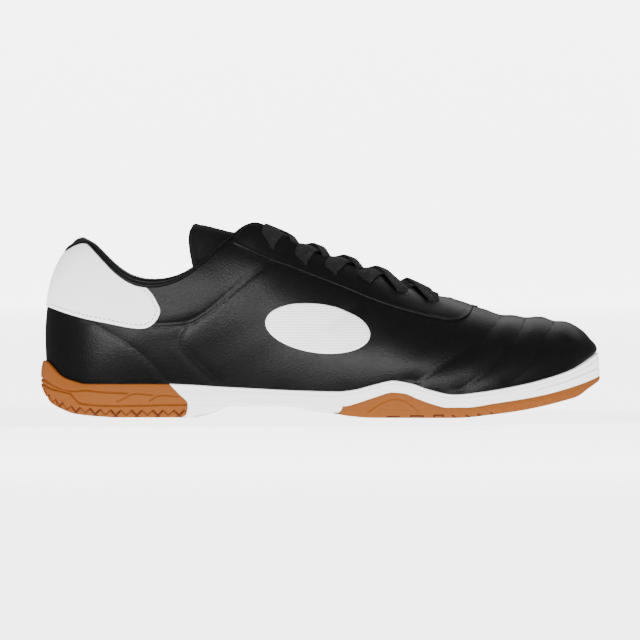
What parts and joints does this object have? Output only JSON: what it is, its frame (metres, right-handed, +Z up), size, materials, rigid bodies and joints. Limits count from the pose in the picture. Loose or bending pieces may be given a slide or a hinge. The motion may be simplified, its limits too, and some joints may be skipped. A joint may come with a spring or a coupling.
{
  "type": "indoor football shoe",
  "caption": "Right indoor football shoe: hollow black leather upper with white heel patch and side panels, padded collar, tongue, flat laces, white midsole and gum rubber outsole.",
  "frame": {"origin": "on the floor, in the middle of the heel's flat spot, 60 mm in front of the heel's back", "axes": "+X towards the toe, +Y towards the medial side (a right shoe's inner side), +Z up"},
  "size_m": [0.2903, 0.1016, 0.1011],
  "materials": {
    "black_leather": "smooth full-grain leather, soft sheen",
    "collar_leather": "thin padded leather, soft sheen",
    "tongue_leather": "soft matt leather over foam",
    "white_leather": "smooth matt white leather",
    "white_print": "smooth white leather with fine raised ribs",
    "sock_fabric": "short-pile woven lining",
    "white_sole": "smooth matt moulded foam",
    "gum_rubber": "smooth satin gum rubber",
    "black_lace": "matt woven flat lace"
  },
  "bodies": {
    "root": {"upper": "black_leather", "collar_band": "collar_leather", "heel_patch": "white_leather", "eyestay": "black_leather", "side_badge_lateral": "white_print", "side_badge_medial": "white_print", "tongue": "tongue_leather", "insole": "sock_fabric", "midsole": "white_sole", "outsole_heel": "gum_rubber", "outsole_forefoot": "gum_rubber", "lace_cross_1": "black_lace", "lace_cross_2": "black_lace", "lace_cross_3": "black_lace", "lace_cross_4": "black_lace", "lace_cross_5": "black_lace", "lace_bar": "black_lace"}
  },
  "joints": []
}
